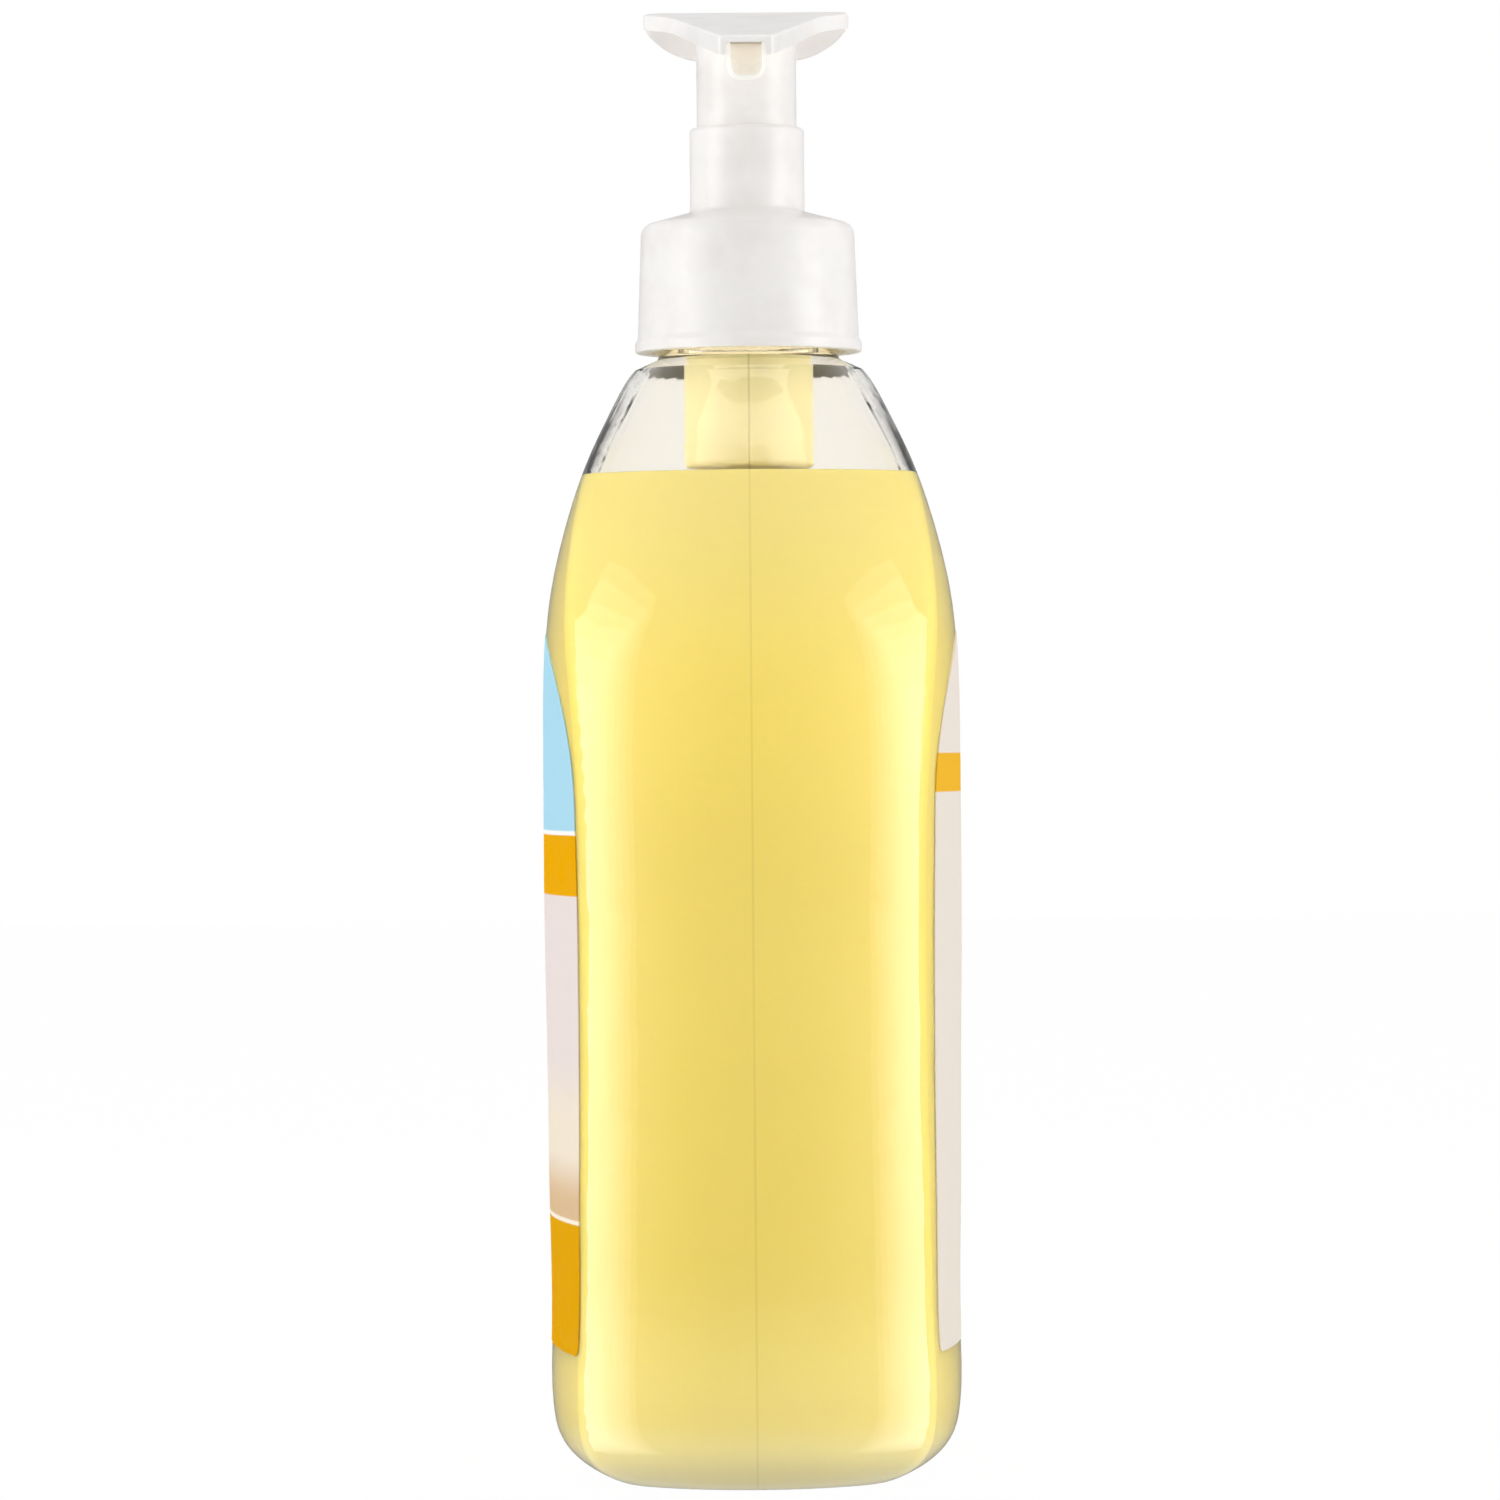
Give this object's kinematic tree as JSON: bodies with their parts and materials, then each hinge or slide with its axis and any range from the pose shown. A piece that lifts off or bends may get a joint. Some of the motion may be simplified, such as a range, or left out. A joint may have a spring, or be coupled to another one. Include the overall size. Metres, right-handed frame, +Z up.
{
  "type": "liquid soap bottle",
  "caption": "Clear oblong bottle of pearly yellow liquid soap with a white screw-on pump, its nozzle over a narrow side and a label on each broad side",
  "frame": {"origin": "the middle of the base, on the surface it stands on", "axes": "+Z up, X through the two labels (front label at -X), Y across the broad way, nozzle to -Y"},
  "size_m": [0.0594, 0.0844, 0.2079],
  "materials": {
    "clear_body": "gloss",
    "soap": "gloss",
    "front_print": "satin",
    "back_print": "satin",
    "gasket_foam": "matte",
    "natural_plastic": "satin",
    "white_plastic": "gloss",
    "ivory_plastic": "satin",
    "soft_seal": "matte",
    "spring_steel": "satin",
    "ball_steel": "gloss"
  },
  "bodies": {
    "bottle_body": {"bottle": "clear_body", "liquid_soap": "soap", "front_label": "front_print", "back_label": "back_print"},
    "pump_body": {"neck_gasket": "gasket_foam", "pump_housing": "natural_plastic", "dip_tube": "natural_plastic", "retainer_ring": "white_plastic", "ball_cage": "natural_plastic", "return_spring": "spring_steel"},
    "closure": {"closure_cap": "white_plastic"},
    "piston": {"piston_seal": "soft_seal"},
    "actuator": {"actuator_head": "white_plastic", "spout_insert": "ivory_plastic", "stem": "natural_plastic", "piston_rod": "natural_plastic"},
    "ball": {"inlet_ball": "ball_steel"}
  },
  "joints": [
    {"name": "pump_lift", "type": "slide", "parent": "bottle_body", "child": "pump_body", "axis": [0, 0, 1], "range_m": [0, 0.00635]},
    {"name": "closure_unscrew", "type": "hinge", "parent": "pump_body", "child": "closure", "pos_m": [0, 0, 0.17], "axis": [0, 0, 1], "range_deg": [0, 540]},
    {"name": "pump_stroke", "type": "slide", "parent": "pump_body", "child": "piston", "axis": [0, 0, -1], "range_m": [0, 0.01], "stiffness_N_per_m": 840, "springref_m": -0.0095, "deforming": ["return_spring"]},
    {"name": "head_swivel", "type": "hinge", "parent": "piston", "child": "actuator", "pos_m": [0, 0, 0.2], "axis": [0, 0, 1], "continuous": true},
    {"name": "ball_lift", "type": "slide", "parent": "pump_body", "child": "ball", "axis": [0, 0, 1], "range_m": [0, 0.0015]}
  ],
  "couplings": [
    {"joint": "pump_lift", "follows": "closure_unscrew", "m_per_rad": 0.00067323}
  ]
}
